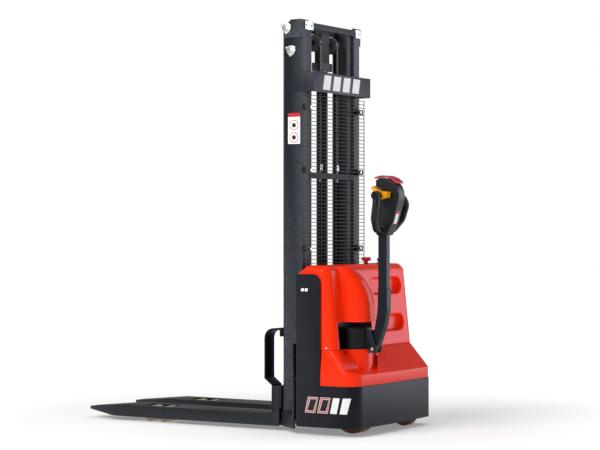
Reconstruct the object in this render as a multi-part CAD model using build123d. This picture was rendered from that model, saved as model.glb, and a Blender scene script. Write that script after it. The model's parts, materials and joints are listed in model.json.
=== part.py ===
from build123d import *
import os
from math import cos, pi, sin

os.makedirs("parts", exist_ok=True)

# Walkie stacker.  Millimetres, +Z up, floor at Z = 0.  +X is the tiller end, the forks point
# to -X, +Y is the right-hand side seen from the tiller.  While modelling, X is measured from
# the rear plane of the mast; save() moves every piece so that the part's own origin is on the
# floor, under the middle of its outline.

# ---- overall sizes ----
body_width = 800.0
body_rear = 372.0            # mast rear plane to the middle of the bowed rear skirt
mast_height = 1984.0
mast_width = 550.0
mast_depth = 109.0
fork_length = 1150.0
fork_spread = 580.0          # over the outer faces of the two forks
lift_stroke = 1400.0         # travel of the inner mast; the forks rise twice as far

# ---- shared clearances ----
run_gap = 2.0                # sliding mast sections
fit_gap = 0.05               # shaft in bore, radial
part_gap = 0.5               # neighbouring pieces that move past each other

# ---- forks and legs ----
fork_width = 185.0
fork_top = 80.0
fork_bottom = 22.0
fork_plate = 6.0
heel_front = -171.0          # front face of the load guard bars
heel_pad_top = 86.0          # weld pad under the shank and the guard bar
carriage_front = -125.0
leg_bottom = 26.0
leg_top = 64.0
leg_side_gap = 14.0          # inside the fork's side walls
leg_wall = 6.0
nose_length = 190.0
nose_width = 84.0

# ---- load wheels ----
load_wheel_radius = 39.0
load_wheel_width = 90.0
load_wheel_pitch = 86.0
load_axle_radius = 10.0
load_bogie_x = -882.0
bogie_plate = 6.0

# ---- mast ----
mast_foot = 95.0
outer_web = 8.0
outer_flange = 10.0
outer_lip = 56.0             # flange length of the outer channel, over the web
inner_web = 8.0
inner_flange = 9.0
inner_web_out = 213.0        # outer face of the inner channel's web, from the centre
inner_flange_in = 172.0
inner_flange_out = 235.0
inner_foot = 110.0
inner_top = mast_height - 14
roller_z = mast_height - 148  # roller of the outer mast
clamp_z = (mast_height - 422, mast_height - 725, mast_height - 1105)
roller_width = 18.0
tie_height = 30.0

# ---- lifting gear ----
cylinder_x = -55.0
cylinder_radius = 28.0
cylinder_bore = 24.0
cylinder_top = mast_height - 234
rod_radius = 17.5
sheave_radius = 41.5
sheave_groove = 33.0
sheave_width = 26.0
sheave_y = 80.0
sheave_z = mast_height - 98
sheave_axle = 12.0
chain_width = 16.0
chain_thick = 8.0
rear_anchor_z = 1290.0
front_anchor_z = 400.0

# ---- body shell ----
skin = 4.0
plate = 6.0
side_front = 39.0
side_rear = 171.0
side_top = 762.0
skirt_bottom = 41.0
skirt_top = 238.0
skirt_corner = 80.0
skirt_bow = 10.0
rim_top = 290.0
parting_z = 405.0
hood_half_width = body_width / 2 - 12
hood_top = 803.0
hood_rear_top = 205.0
hood_rear_low = 247.0
hood_corner = 40.0
hood_bevel = 16.0
hood_front = 41.0
floor_z = 60.0
bridge_z = 262.0
bridge_plate = 10.0

# ---- drive unit ----
drive_x = 235.0
drive_y = -body_width / 2 + 220
drive_wheel_radius = 105.0
drive_wheel_width = 70.0
drive_axle_radius = 15.0
journal_radius = 72.0
ring_radius = 95.0
motor_radius = 62.0
motor_top = 505.0
drum_radius = 82.0
drum_base = 409.0
tower_radius = 86.0
bracket_low = 388.0          # underside of the tiller bracket's ears
swing_relief = 15.0          # lip cut back where the ears pass at full lock
swing_gap = 3.0              # under the ears, over the floor of that cut
cowl_radius = 95.0           # hood bulge over the drive motor, at the top of its opening
cowl_top_radius = 35.0
cowl_top_x = 205.0
cowl_top_y = drive_y - 70
opening_half = 163.0
opening_top = 534.0
screen_x = 143.0
screen_top = opening_top + 12

# ---- castor ----
castor_x = 235.0
castor_y = body_width / 2 - 150
castor_radius = 62.0
castor_width = 48.0
castor_trail = 40.0
castor_axle = 8.0
castor_head_z = 160.0

# ---- tiller ----
pivot_x = 344.0
pivot_z = 405.0
pivot_radius = 8.0
arm_width = 40.0
arm_front = 371.5
arm_rear = 416.0
arm_top = 965.0
hub_x = 405.0                # throttle axis, also the centre of the rounded head
hub_z = 1132.0
hub_radius = 84.0
pad_radius = 95.0            # outside of the belly button
core_half = 32.0
grip_radius = 17.0
grip_half = 150.0
boss_in = 76.0
throttle_axle = 7.0

# ---- derived places ----
half_body = body_width / 2
half_mast = mast_width / 2
fork_out = fork_spread / 2
fork_in = fork_out - fork_width
fork_mid = (fork_out + fork_in) / 2
fork_tip = heel_front - fork_length
leg_in = fork_in + fork_plate + leg_side_gap
leg_out = fork_out - fork_plate - leg_side_gap + 5
mast_mid = -mast_depth / 2
tiller_rear = hub_x + hub_radius                 # rearmost point of the tiller head
origin_shift = (-fork_tip - tiller_rear) / 2


def save(name, *shapes):
    """Write one node; several loose solids make one group."""
    shape = shapes[0] if len(shapes) == 1 else Compound(children=list(shapes))
    export_step(Pos(origin_shift, 0, 0) * shape, f"parts/{name}.step")


def block(x0, x1, y0, y1, z0, z1):
    """A box between two corners."""
    return Pos((x0 + x1) / 2, (y0 + y1) / 2, (z0 + z1) / 2) * Box(
        abs(x1 - x0), abs(y1 - y0), abs(z1 - z0))


def rod_x(radius, x0, x1, y, z):
    return Pos((x0 + x1) / 2, y, z) * Rot(0, 90, 0) * Cylinder(radius, abs(x1 - x0))


def rod_y(radius, x, y0, y1, z):
    return Pos(x, (y0 + y1) / 2, z) * Rot(90, 0, 0) * Cylinder(radius, abs(y1 - y0))


def rod_z(radius, x, y, z0, z1):
    return Pos(x, y, (z0 + z1) / 2) * Cylinder(radius, abs(z1 - z0))


def prism_y(points, y0, y1):
    """An X-Z outline extruded along Y."""
    face = make_face(Polyline([(x, y0, z) for x, z in points], close=True))
    return extrude(face, amount=abs(y1 - y0), dir=(0, 1 if y1 > y0 else -1, 0))


def prism_z(points, z0, z1):
    """An X-Y outline extruded upwards."""
    return extrude(make_face(Polyline([(x, y, z0) for x, y in points], close=True)),
                   amount=z1 - z0, dir=(0, 0, 1))


def both_sides(shape):
    return shape, mirror(shape, about=Plane.XZ)


# ================= body =================
def body_outline(inset, front, z):
    """Plan of the skirt: flat sides, round corners and a bowed rear."""
    half = half_body - inset
    corner = skirt_corner - inset
    side_end = body_rear - skirt_bow - skirt_corner
    rear_edge = body_rear - skirt_bow - inset
    diagonal = corner * cos(pi / 4)
    edges = [
        Line((front, -half, z), (side_end, -half, z)),
        ThreePointArc((side_end, -half, z),
                      (side_end + diagonal, -half + corner - diagonal, z),
                      (rear_edge, -half + corner, z)),
        ThreePointArc((rear_edge, -half + corner, z), (body_rear - inset, 0, z),
                      (rear_edge, half - corner, z)),
        ThreePointArc((rear_edge, half - corner, z),
                      (side_end + diagonal, half - corner + diagonal, z),
                      (side_end, half, z)),
        Line((side_end, half, z), (front, half, z)),
        Line((front, half, z), (front, -half, z)),
    ]
    return make_face(Wire(edges))


def hood_outline(inset, front, rear, z):
    """Plan of the upper hood, with the same run of edges as the skirt's plan."""
    half = hood_half_width - inset
    corner = hood_corner - inset
    side_end = rear - hood_corner
    rear_edge = rear - inset
    diagonal = corner * cos(pi / 4)
    edges = [
        Line((front, -half, z), (side_end, -half, z)),
        ThreePointArc((side_end, -half, z),
                      (side_end + diagonal, -half + corner - diagonal, z),
                      (rear_edge, -half + corner, z)),
        Line((rear_edge, -half + corner, z), (rear_edge, half - corner, z)),
        ThreePointArc((rear_edge, half - corner, z),
                      (side_end + diagonal, half - corner + diagonal, z),
                      (side_end, half, z)),
        Line((side_end, half, z), (front, half, z)),
        Line((front, half, z), (front, -half, z)),
    ]
    return make_face(Wire(edges))


def make_skirt():
    outer = extrude(body_outline(0, side_rear, skirt_bottom), amount=skirt_top - skirt_bottom)
    inner = extrude(body_outline(plate, side_rear - 50, skirt_bottom - 10),
                    amount=skirt_top - skirt_bottom + 20)
    return outer - inner


def make_side_panel():
    face = make_face(Polyline(
        [(side_front, skirt_bottom), (side_rear, skirt_bottom), (side_rear, side_top),
         (side_front, side_top)], close=True))
    sheet = extrude(face, amount=plate)
    corner_edge = sheet.edges().filter_by(Axis.Z).group_by(Axis.Y)[-1].sort_by(Axis.X)[-1]
    sheet = fillet(corner_edge, 42)
    return Pos(0, -half_body + plate, 0) * Rot(90, 0, 0) * sheet


inside = half_body - plate          # inner face of the side panels and skirt
castor_clear = castor_trail + castor_radius + 15
wheel_clear = drive_wheel_radius + 33
bulkhead = (15.0, 23.0)
tray_z = 424.0


def make_chassis():
    """Welded base: floor, drive bridge, bulkhead, battery tray, castor pedestal, mast feet."""
    floor = extrude(body_outline(plate, bulkhead[0], floor_z), amount=8)
    bridge = block(bulkhead[0], 325, -inside + 8, inside - 8, bridge_z, bridge_z + bridge_plate)
    bridge &= extrude(body_outline(plate + 8, bulkhead[0], bridge_z), amount=bridge_plate)
    wall = block(*bulkhead, -inside, inside, floor_z, tray_z + 6)
    tray = block(bulkhead[0], 180, -20, inside - 29, tray_z, tray_z + 6)
    tray_legs = [block(160, 170, y, y + 10, bridge_z, tray_z + 3) for y in (-20, inside - 39)]
    pedestal = block(castor_x - 55, castor_x + 55, castor_y - 50, castor_y + 50,
                     castor_head_z, bridge_z + 2)
    feet = [block(0, bulkhead[0] + 2, s * half_mast - 25, s * half_mast + 25, 100, 400)
            for s in (-1, 1)]
    side_webs = [block(290, 300, y, y + 8, floor_z, bridge_z + 2) for y in (-inside + 8, 60)]
    # a folded screen closes the hood's opening behind the steered drum
    well = (drive_y - opening_half - skin, drive_y + opening_half)
    screen = [block(screen_x, screen_x + skin, well[0], well[1] + skin, bridge_z + 5, screen_top)]
    screen += [block(screen_x, 220, y, y + skin, drum_base, screen_top) for y in well]
    base = floor + bridge + wall + tray + pedestal
    for piece in tray_legs + feet + side_webs + screen:
        base += piece
    base -= rod_z(wheel_clear, drive_x, drive_y, floor_z - 5, floor_z + 20)
    base -= rod_z(castor_clear, castor_x, castor_y, floor_z - 5, floor_z + 20)
    base -= rod_z(ring_radius, drive_x, drive_y, bridge_z - 5, bridge_z + 30)
    return base


def make_leg():
    """Support leg under the left fork: hollow box with a fork end that holds the bogie."""
    front_end = load_bogie_x - load_wheel_pitch / 2 - load_wheel_radius - 22
    box = block(front_end, -mast_depth, -leg_out, -leg_in, leg_bottom, leg_top)
    core = block(load_bogie_x + 115, -mast_depth + 1, -leg_out + leg_wall, -leg_in - leg_wall,
                 leg_bottom + leg_wall, leg_top - leg_wall)
    well = block(front_end - 5, load_bogie_x + 100, -leg_out + 8, -leg_in - 8,
                 leg_bottom - 5, leg_top + 5)
    root = prism_z([(-mast_depth, -fork_out), (side_front, -half_body),
                    (side_front, -leg_in + 20), (-mast_depth, -leg_in + 20)],
                   leg_bottom, mast_foot)
    root_core = prism_z([(-mast_depth + 8, -fork_out + 14), (side_front + 1, -half_body + 14),
                         (side_front + 1, -leg_in + 10), (-mast_depth + 8, -leg_in + 10)],
                        leg_bottom - 1, mast_foot - 8)
    # the root hugs the floor plate and bulkhead, so its rear stops in front of them
    root -= block(bulkhead[0], side_front + 1, -half_body - 1, 0, leg_bottom - 1, mast_foot + 1)
    leg = box - core - well + (root - root_core)
    for y in (-leg_out, -leg_in - 8):
        leg += rod_y(load_axle_radius + 9, load_bogie_x, y, y + 8, load_wheel_radius)
    stubs = [rod_y(load_axle_radius, load_bogie_x, -leg_out, -leg_out + 8 + 1 + bogie_plate,
                   load_wheel_radius),
             rod_y(load_axle_radius, load_bogie_x, -leg_in - 8 - 1 - bogie_plate, -leg_in,
                   load_wheel_radius)]
    return leg + stubs[0] + stubs[1]


leg_mid = (leg_in + leg_out) / 2
bogie_half = (leg_out - leg_in) / 2 - 8 - 1      # centre to the bogie's outer faces


def make_bogie():
    """Rocking plates of the left tandem pair, with the two wheel axles welded across them."""
    length = load_wheel_pitch + 50
    frame = None
    for s in (-1, 1):
        y_out = -leg_mid + s * bogie_half
        cheek = block(load_bogie_x - length / 2, load_bogie_x + length / 2,
                      y_out, y_out - s * bogie_plate,
                      load_wheel_radius - 13, load_wheel_radius + 13)
        cheek = fillet(cheek.edges().filter_by(Axis.Y), 12)
        cheek -= rod_y(load_axle_radius + fit_gap, load_bogie_x, y_out - 20, y_out + 20,
                       load_wheel_radius)
        frame = cheek if frame is None else frame + cheek
    for x in load_axles:
        frame += rod_y(load_axle_radius, x, -leg_mid - bogie_half + 1, -leg_mid + bogie_half - 1,
                       load_wheel_radius)
    return frame


load_axles = (load_bogie_x - load_wheel_pitch / 2, load_bogie_x + load_wheel_pitch / 2)


def make_load_wheel(x):
    half = load_wheel_width / 2
    tread = rod_y(load_wheel_radius, x, -leg_mid - half, -leg_mid + half, load_wheel_radius)
    tread = chamfer(tread.edges().filter_by(GeomType.CIRCLE), 3)
    return tread - rod_y(load_axle_radius + fit_gap, x, -leg_mid - 99, -leg_mid + 99,
                         load_wheel_radius)


for node, shape in zip(("side_panel_left", "side_panel_right"), both_sides(make_side_panel())):
    save(node, shape)
save("rear_skirt", make_skirt())
save("chassis_base", make_chassis())
for node, shape in zip(("support_leg_left", "support_leg_right"), both_sides(make_leg())):
    save(node, shape)
for node, shape in zip(("load_bogie_left", "load_bogie_right"), both_sides(make_bogie())):
    save(node, shape)
for place, x in zip(("front", "rear"), load_axles):
    for side, shape in zip(("left", "right"), both_sides(make_load_wheel(x))):
        save(f"load_wheel_{side}_{place}", shape)


# ================= forks and carriage =================
def make_fork():
    """Left fork: folded channel that straddles its leg, with a sloped and tapered nose."""
    nose_start = fork_tip + nose_length
    tip_in, tip_out = -fork_mid + nose_width / 2, -fork_mid - nose_width / 2
    plan = prism_z([(carriage_front, -fork_out), (nose_start, -fork_out),
                    (fork_tip + 12, tip_out), (fork_tip, tip_out + 14),
                    (fork_tip, tip_in - 14), (fork_tip + 12, tip_in),
                    (nose_start, -fork_in), (carriage_front, -fork_in)], 0, 120)
    side = prism_y([(carriage_front, fork_bottom), (nose_start + 10, fork_bottom),
                    (fork_tip + 10, 44), (fork_tip, 50), (fork_tip + 4, 58),
                    (fork_tip + nose_length * 1.35, fork_top), (carriage_front, fork_top)],
                   -fork_out - 10, -fork_in + 10)
    hollow = prism_y([(carriage_front - 40, fork_bottom - 1), (nose_start + 40, fork_bottom - 1),
                      (nose_start + 40, 66), (nose_start + 90, fork_top - fork_plate),
                      (carriage_front - 40, fork_top - fork_plate)],
                     -fork_out + fork_plate, -fork_in - fork_plate)
    wheel_slot = block(load_bogie_x - load_wheel_pitch, load_bogie_x + load_wheel_pitch,
                       -leg_mid - load_wheel_width / 2 - 8, -leg_mid + load_wheel_width / 2 + 8,
                       fork_top - 20, fork_top + 20)
    leg_gate = block(carriage_front - 50, carriage_front + 5, -fork_out + fork_plate,
                     -fork_in - fork_plate, fork_bottom - 1, leg_top + 6)
    shank = block(heel_front + 10, carriage_front, -fork_out + 3, -fork_in - 3, fork_top, 215)
    shank += block(heel_front, carriage_front, -fork_out, -fork_in, fork_top, heel_pad_top)
    return (plan & side) - hollow - wheel_slot - leg_gate + shank


def make_guard_bar():
    """Flat bar bent from the fork's heel up, forward and back to the carriage's top rail."""
    low, high, bend = heel_front, heel_front - 42, 50.0
    outline = [(low, heel_pad_top), (low, 218), (high, 250), (high, 495 - bend)]
    steps = [(high + bend - bend * cos(a * pi / 12), 495 - bend + bend * sin(a * pi / 12))
             for a in range(1, 7)]
    outline += steps + [(carriage_front, 495), (carriage_front, 485)]
    outline += [(high + bend - (bend - 10) * cos(a * pi / 12),
                 495 - bend + (bend - 10) * sin(a * pi / 12)) for a in range(6, -1, -1)]
    outline += [(high + 10, 254), (low + 10, 222), (low + 10, heel_pad_top)]
    return prism_y(outline, -fork_out + 5, -fork_out + 85)


carriage_plate = (158.0, 170.0)
carriage_roller_z = (150.0, 330.0)


def make_carriage():
    """Two cheeks that run between the inner channels, tied by three rails in front."""
    frame = block(carriage_front, carriage_front + 12, -fork_out + 3, fork_out - 3, 110, 215)
    frame += block(carriage_front, carriage_front + 12, -fork_out + 5, fork_out - 5, 455, 495)
    frame += block(carriage_front, carriage_front + 12, -170, 170, 300, 340)
    for s in (-1, 1):
        frame += block(carriage_front, -35, s * carriage_plate[0], s * carriage_plate[1],
                       110, 490)
        frame += block(-100, -70, s * (sheave_y - 14), s * carriage_plate[0],
                       front_anchor_z - 20, front_anchor_z)
        frame += block(carriage_front, -70, s * (sheave_y - 14), s * (sheave_y + 14),
                       front_anchor_z - 20, front_anchor_z)
        frame += block(carriage_front, carriage_front + 12, s * (sheave_y - 14),
                       s * (sheave_y + 14), 330, front_anchor_z)
        for z in carriage_roller_z:
            frame += rod_y(sheave_axle, mast_mid, s * carriage_plate[0], s * 200, z)
    return frame


def mast_roller(radius, x, y_mid, z, width=roller_width, bore=sheave_axle):
    wheel = rod_y(radius, x, y_mid - width / 2, y_mid + width / 2, z)
    return wheel - rod_y(bore + fit_gap, x, y_mid - width, y_mid + width, z)


inner_front = -mast_depth + outer_flange + run_gap
inner_rear = -outer_flange - run_gap
inner_gap = inner_rear - inner_front - 2 * inner_flange
inner_roller = inner_gap / 2 - part_gap
outer_roller = (mast_depth - 2 * outer_flange) / 2 - part_gap

for node, shape in zip(("fork_left", "fork_right"), both_sides(make_fork())):
    save(node, shape)
save("load_guard_bars", *both_sides(make_guard_bar()))
save("carriage_frame", make_carriage())
save("carriage_rollers", *[mast_roller(inner_roller, mast_mid, s * 189, z, 26)
                           for s in (-1, 1) for z in carriage_roller_z])


# ================= mast =================
def make_outer_channel():
    """Left outer channel with the thick plate welded outside its top end."""
    y_out, y_in = -half_mast, -half_mast + outer_lip
    channel = block(-mast_depth, 0, y_out, y_in, mast_foot, mast_height)
    channel -= block(-mast_depth + outer_flange, -outer_flange, y_out + outer_web, y_in + 1,
                     mast_foot - 1, mast_height + 1)
    cap = prism_y([(-mast_depth + 8, mast_height - 87), (0, mast_height - 87), (0, mast_height),
                   (-mast_depth + 50, mast_height), (-mast_depth + 8, mast_height - 42)],
                  y_out - cap_thick, y_out)
    corner = prism_y([(-mast_depth - 1, mast_height - 50), (-mast_depth - 1, mast_height + 1),
                      (-mast_depth + 50, mast_height + 1)], y_out - 20, y_in + 1)
    channel = channel + cap - corner
    stub = rod_y(sheave_axle, mast_mid, y_out, -inner_web_out - part_gap, roller_z)
    return channel + stub


cap_thick = 12.0
cover_spots = ((-80.0, mast_height - 41, half_mast + cap_thick), (-62.0, roller_z, half_mast))
screw_z = mast_height - 27       # bolts that hold the angle stops


def rounded_triangle(side, thick):
    """Cast zinc roller cover, flat edge on top, point down, with a raised centre."""
    points = [(side * sin(a), -side * cos(a)) for a in (0, 2 * pi / 3, 4 * pi / 3)]
    sheet = extrude(make_face(Polyline(points, close=True)), amount=thick)
    sheet = fillet(sheet.edges().filter_by(Axis.Z), side * 0.42)
    return sheet + Pos(0, 0, thick) * Cylinder(side * 0.26, 4)


def make_covers():
    covers = []
    for x, z, y in cover_spots:
        cover = Pos(x, -y, z) * Rot(90, 0, 0) * rounded_triangle(46, 8)
        covers += both_sides(cover)
    return covers


def make_fasteners():
    """Loose zinc-plated screws and bolts of the mast, mesh and hood."""
    screws = []
    for x, z, y in cover_spots:
        for a in (0, 2 * pi / 3, 4 * pi / 3):
            screw = rod_y(6, x + 25 * sin(a), -y - 8, -y - 13, z - 25 * cos(a))
            screws += both_sides(screw)
    for z in clamp_z:
        screws += both_sides(rod_x(7, mesh_x + mesh_wire, mesh_x + mesh_wire + 6,
                                   -half_mast + 32, z))
    for y in (-245, -195):
        screws.append(rod_x(5.5, 6, 11, y, screw_z))
    screws.append(rod_x(5.5, 6, 11, 262, screw_z))
    for y in (-hood_half_width, hood_half_width):
        out = -1 if y < 0 else 1
        screws.append(rod_y(6, 200, y, y + 4 * out, parting_z + 10))
    return screws


mesh_x = 20.5
mesh_wire = 3.5
mesh_pitch = 18.0
mesh_low, mesh_high = 700.0, mast_height - 354
mesh_half = mast_width / 2 + 7


def make_mesh():
    """Guard grid behind the mast: close horizontal wires, a few uprights."""
    rows = int((mesh_high - mesh_low) / mesh_pitch)
    columns = 4
    height = rows * mesh_pitch + mesh_wire
    pitch_y = (2 * mesh_half - mesh_wire) / columns
    sheet = Rectangle(2 * mesh_half, height)
    hole = Rectangle(pitch_y - mesh_wire, mesh_pitch - mesh_wire)
    sheet -= GridLocations(pitch_y, mesh_pitch, columns, rows) * hole
    grid = extrude(Plane.YZ.offset(mesh_x) * sheet, amount=mesh_wire)
    return Pos(0, 0, mesh_low + height / 2) * grid


def make_name_plate():
    """Blank U-shaped sheet carried behind the mast by two side tabs."""
    z0, z1, gauge = mast_height - 350, mast_height - 253, 3.0
    y = half_mast + gauge
    shape = block(60, 60 + gauge, -y, y, z0, z1)
    for s in (-1, 1):
        tab = block(-78, 60, s * half_mast, s * y, z0, z1)
        front = tab.edges().filter_by(Axis.Y).group_by(Axis.X)[0]
        shape += fillet(front, 28)
    return shape


def make_ties():
    """Cross ties of the outer mast and the foot plate of the lift cylinder."""
    half = half_mast - outer_lip
    ties = [block(-outer_flange, 0, -half, half, mast_height - 39, mast_height - 39 + tie_height),
            block(-outer_flange, 0, -half, half, 1220, 1250),
            block(-outer_flange, 0, -half, half, 430, 480)]
    base = block(-outer_flange, 0, -half, half, mast_foot, 160)
    base += block(-mast_depth + 4, 0, -half, half, mast_foot, 100)
    return ties + [base]


def make_inner_mast():
    """Two inner channels, welded to a top tie in front and a bottom tie behind."""
    frame = None
    for s in (-1, 1):
        side = block(inner_front, inner_rear, s * inner_web_out, s * (inner_web_out - inner_web),
                     inner_foot, inner_top)
        for x0, x1 in ((inner_front, inner_front + inner_flange),
                       (inner_rear - inner_flange, inner_rear)):
            side += block(x0, x1, s * inner_flange_in, s * inner_flange_out,
                          inner_foot, inner_top)
        side += rod_y(sheave_axle, mast_mid, s * (inner_web_out - 2), s * 262, 165)
        frame = side if frame is None else frame + side
    frame += block(inner_front, inner_front + 12, -inner_flange_in - 1, inner_flange_in + 1,
                   inner_top - 32, inner_top)
    frame += block(inner_rear - 8, inner_rear, -inner_flange_in - 1, inner_flange_in + 1,
                   inner_foot, inner_foot + 50)
    return frame


def make_cylinder():
    tube = rod_z(cylinder_radius, cylinder_x, 0, 100, cylinder_top)
    tube -= rod_z(cylinder_bore, cylinder_x, 0, 120, cylinder_top - 40)
    tube -= rod_z(rod_radius + fit_gap, cylinder_x, 0, cylinder_top - 60, cylinder_top + 1)
    collar = rod_z(cylinder_radius + 5, cylinder_x, 0, cylinder_top - 45, cylinder_top - 5)
    collar -= rod_z(cylinder_radius - 1, cylinder_x, 0, cylinder_top - 46, cylinder_top)
    return tube + collar


def make_rod():
    rod = rod_z(rod_radius, cylinder_x, 0, 140, cylinder_top + 4)
    return rod + rod_z(cylinder_bore - 0.3, cylinder_x, 0, 130, 170)


def make_crosshead():
    """Block on the rod end, post up to the inner mast's top tie, and the sheave axle."""
    z0 = cylinder_top + 4
    head = block(cylinder_x - 22, cylinder_x + 22, -62, 62, z0, z0 + 40)
    head += block(cylinder_x - 20, cylinder_x + 20, -38, 38, z0 + 35, inner_top - 22)
    head += block(inner_front + 12, cylinder_x - 15, -38, 38, inner_top - 60, inner_top - 22)
    head += rod_y(sheave_axle, cylinder_x, -sheave_y - 20, sheave_y + 20, sheave_z)
    return head


def make_sheave(y):
    disc = rod_y(sheave_radius, cylinder_x, y - sheave_width / 2, y + sheave_width / 2, sheave_z)
    groove = rod_y(sheave_radius + 5, cylinder_x, y - chain_width / 2 - part_gap,
                   y + chain_width / 2 + part_gap, sheave_z)
    groove -= rod_y(sheave_groove, cylinder_x, y - 30, y + 30, sheave_z)
    bore = rod_y(sheave_axle + fit_gap, cylinder_x, y - 30, y + 30, sheave_z)
    return disc - groove - bore


chain_in = sheave_groove + 0.3
chain_run = chain_in + chain_thick / 2          # chain centre line from the sheave's axis


def make_chain_bend(y):
    ring = rod_y(chain_in + chain_thick, cylinder_x, y - chain_width / 2, y + chain_width / 2,
                 sheave_z)
    ring -= rod_y(chain_in, cylinder_x, y - 30, y + 30, sheave_z)
    return ring & block(cylinder_x - 60, cylinder_x + 60, y - 30, y + 30, sheave_z,
                        sheave_z + 60)


def chain_strand(x, y, z0, z1):
    return block(x - chain_thick / 2, x + chain_thick / 2, y - chain_width / 2,
                 y + chain_width / 2, z0, z1)


def make_anchor(y):
    """Threaded chain end: fork block, shank and nut seat on the middle tie."""
    x = cylinder_x + chain_run
    anchor = block(x - 7, x + 7, y - 10, y + 10, rear_anchor_z - 26, rear_anchor_z)
    anchor += rod_z(5, x, y, 1205, rear_anchor_z - 20)
    anchor += block(x - 7, -outer_flange, y - 12, y + 12, 1228, 1242)
    return anchor + rod_z(7, x, y, 1212, 1228)


for node, shape in zip(("outer_mast_left", "outer_mast_right"), both_sides(make_outer_channel())):
    save(node, shape)
save("outer_mast_ties", *make_ties())
save("mast_rollers", *[mast_roller(inner_roller, mast_mid, s * (inner_web_out + 11), roller_z)
                       for s in (-1, 1)])
save("roller_covers", *make_covers())
save("angle_stops", *[block(0, 6, y0, y1, screw_z - 20, screw_z + 21)
                      for y0, y1 in ((-half_mast + 17, -half_mast + 93),
                                     (half_mast - 43, half_mast + 12))])
save("mast_fasteners", *make_fasteners())
save("name_plate", make_name_plate())
save("mesh_guard", make_mesh())
save("mesh_clamps", *[block(0, mesh_x, s * (half_mast - 50), s * (half_mast + 5), z - 13, z + 13)
                      for s in (-1, 1) for z in clamp_z])
save("inner_mast", make_inner_mast())
save("inner_mast_rollers", *[mast_roller(outer_roller, mast_mid, s * 251, 165, 20)
                             for s in (-1, 1)])
save("lift_cylinder", make_cylinder())
save("lift_rod", make_rod())
save("crosshead", make_crosshead())
save("chain_sheaves", *[make_sheave(y) for y in (-sheave_y, sheave_y)])
save("chain_bends", *[make_chain_bend(y) for y in (-sheave_y, sheave_y)])
save("rear_chains", *[chain_strand(cylinder_x + chain_run, y, rear_anchor_z, sheave_z)
                      for y in (-sheave_y, sheave_y)])
save("front_chains", *[chain_strand(cylinder_x - chain_run, y, front_anchor_z, sheave_z)
                       for y in (-sheave_y, sheave_y)])
save("chain_anchors", *[make_anchor(y) for y in (-sheave_y, sheave_y)])


# ================= hoods =================
pockets = ((166.0, 696.0, 300.0, 80.0), (186.0, 513.5, 250.0, 77.0))   # y, z, length, height
pocket_depth = 30.0


def pocket_solid(y, z, length, height, grow):
    face = Plane.YZ * SlotOverall(length + 2 * grow, height + 2 * grow)
    rear = hood_rear_top + (hood_top - z) / (hood_top - parting_z) * (
        hood_rear_low - hood_rear_top)
    return Pos(rear - pocket_depth - grow, y, z) * extrude(face, amount=100)


def hood_body(inset, front):
    low, high = parting_z - (5 if inset else 0), hood_top - inset
    body = loft([hood_outline(inset, front, hood_rear_low, low),
                 hood_outline(inset, front, hood_rear_top, high - hood_bevel),
                 hood_outline(inset + hood_bevel, front + hood_bevel, hood_rear_top, high)],
                ruled=True)
    cowl_low = Pos(drive_x, drive_y, opening_top - (5 if inset else 0)) * Circle(
        cowl_radius - inset)
    cowl_high = Pos(cowl_top_x, cowl_top_y, high - hood_bevel) * Circle(
        cowl_top_radius - inset)
    return body + loft([cowl_low, cowl_high], ruled=True)


def make_upper_hood():
    outer = hood_body(0, hood_front)
    inner = hood_body(skin, hood_front - 60)
    for y, z, length, height in pockets:
        outer -= pocket_solid(y, z, length, height, 0)
        inner -= pocket_solid(y, z, length, height, skin)
    hood = outer - inner
    hood -= block(150, 400, drive_y - opening_half, drive_y + opening_half,
                  parting_z - 1, opening_top)
    hood -= rod_z(stop_stem + part_gap, stop_x, stop_y, hood_top - 30, hood_top + 5)
    hood -= block(panel_x - 28, panel_x + 28, panel_y - 58, panel_y + 58,
                  hood_top - 30, hood_top + 5)
    return hood


def scoop(grow):
    """Hollow round the drive tower, where the foot of the tiller swings."""
    lip, floor = hood_rear_low - 1 - grow, rim_top + 1 - grow
    side = prism_y([(lip, parting_z + 20), (lip, parting_z), (lip + 51, 316 - grow),
                    (body_rear - 10, floor), (body_rear + 30, floor),
                    (body_rear + 30, parting_z + 20)], -half_body - 10, half_body)
    near = drive_y + 142 + grow
    plan = prism_z([(lip, -half_body - 5), (lip, near), (lip + 32, near),
                    (body_rear - 4 + grow, drive_y - 16 + grow), (body_rear + 20, drive_y - 16),
                    (body_rear + 20, -half_body - 5)], rim_top - 20, parting_z + 10)
    lock = block(lip - swing_relief, lip + 45, drive_y - 142 - grow, near,
                 bracket_low - 2 * swing_gap - grow, parting_z + 20)
    return (side & plan) + lock - rod_z(tower_radius - grow, drive_x, drive_y, rim_top - 40,
                                        parting_z + 30)


def lower_body(inset, front, cut):
    """Solid form of the lower hood; the cut runs past its open bottom and top."""
    base = extrude(body_outline(3 + inset, front, skirt_top - cut),
                   amount=rim_top - skirt_top + cut)
    mouth = hood_outline(inset + 0.5, front, hood_rear_low, parting_z)
    slope = loft([body_outline(3 + inset, front, rim_top), mouth], ruled=True)
    tower = rod_z(tower_radius - inset, drive_x, drive_y, skirt_top - cut, parting_z - inset)
    tower &= block(front, body_rear, -half_body, half_body, skirt_top - cut, parting_z)
    form = base + slope - scoop(inset) + tower
    return form + extrude(mouth, amount=cut) if cut else form


def make_lower_hood():
    hood = lower_body(0, side_rear, 0) - lower_body(skin, side_rear - 20, 5)
    return hood - rod_z(journal_radius + 5, drive_x, drive_y, parting_z - 20, parting_z + 20)


stop_x, stop_y, stop_stem = 120.0, 135.0, 13.0
panel_x, panel_y = 105.0, castor_y + 12


def make_stop_base():
    body = rod_z(20, stop_x, stop_y, hood_top - 60, hood_top - skin)
    body += rod_z(stop_stem, stop_x, stop_y, hood_top - skin - 1, hood_top + 3)
    return body - rod_z(9 + fit_gap, stop_x, stop_y, hood_top - 40, hood_top + 5)


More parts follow.
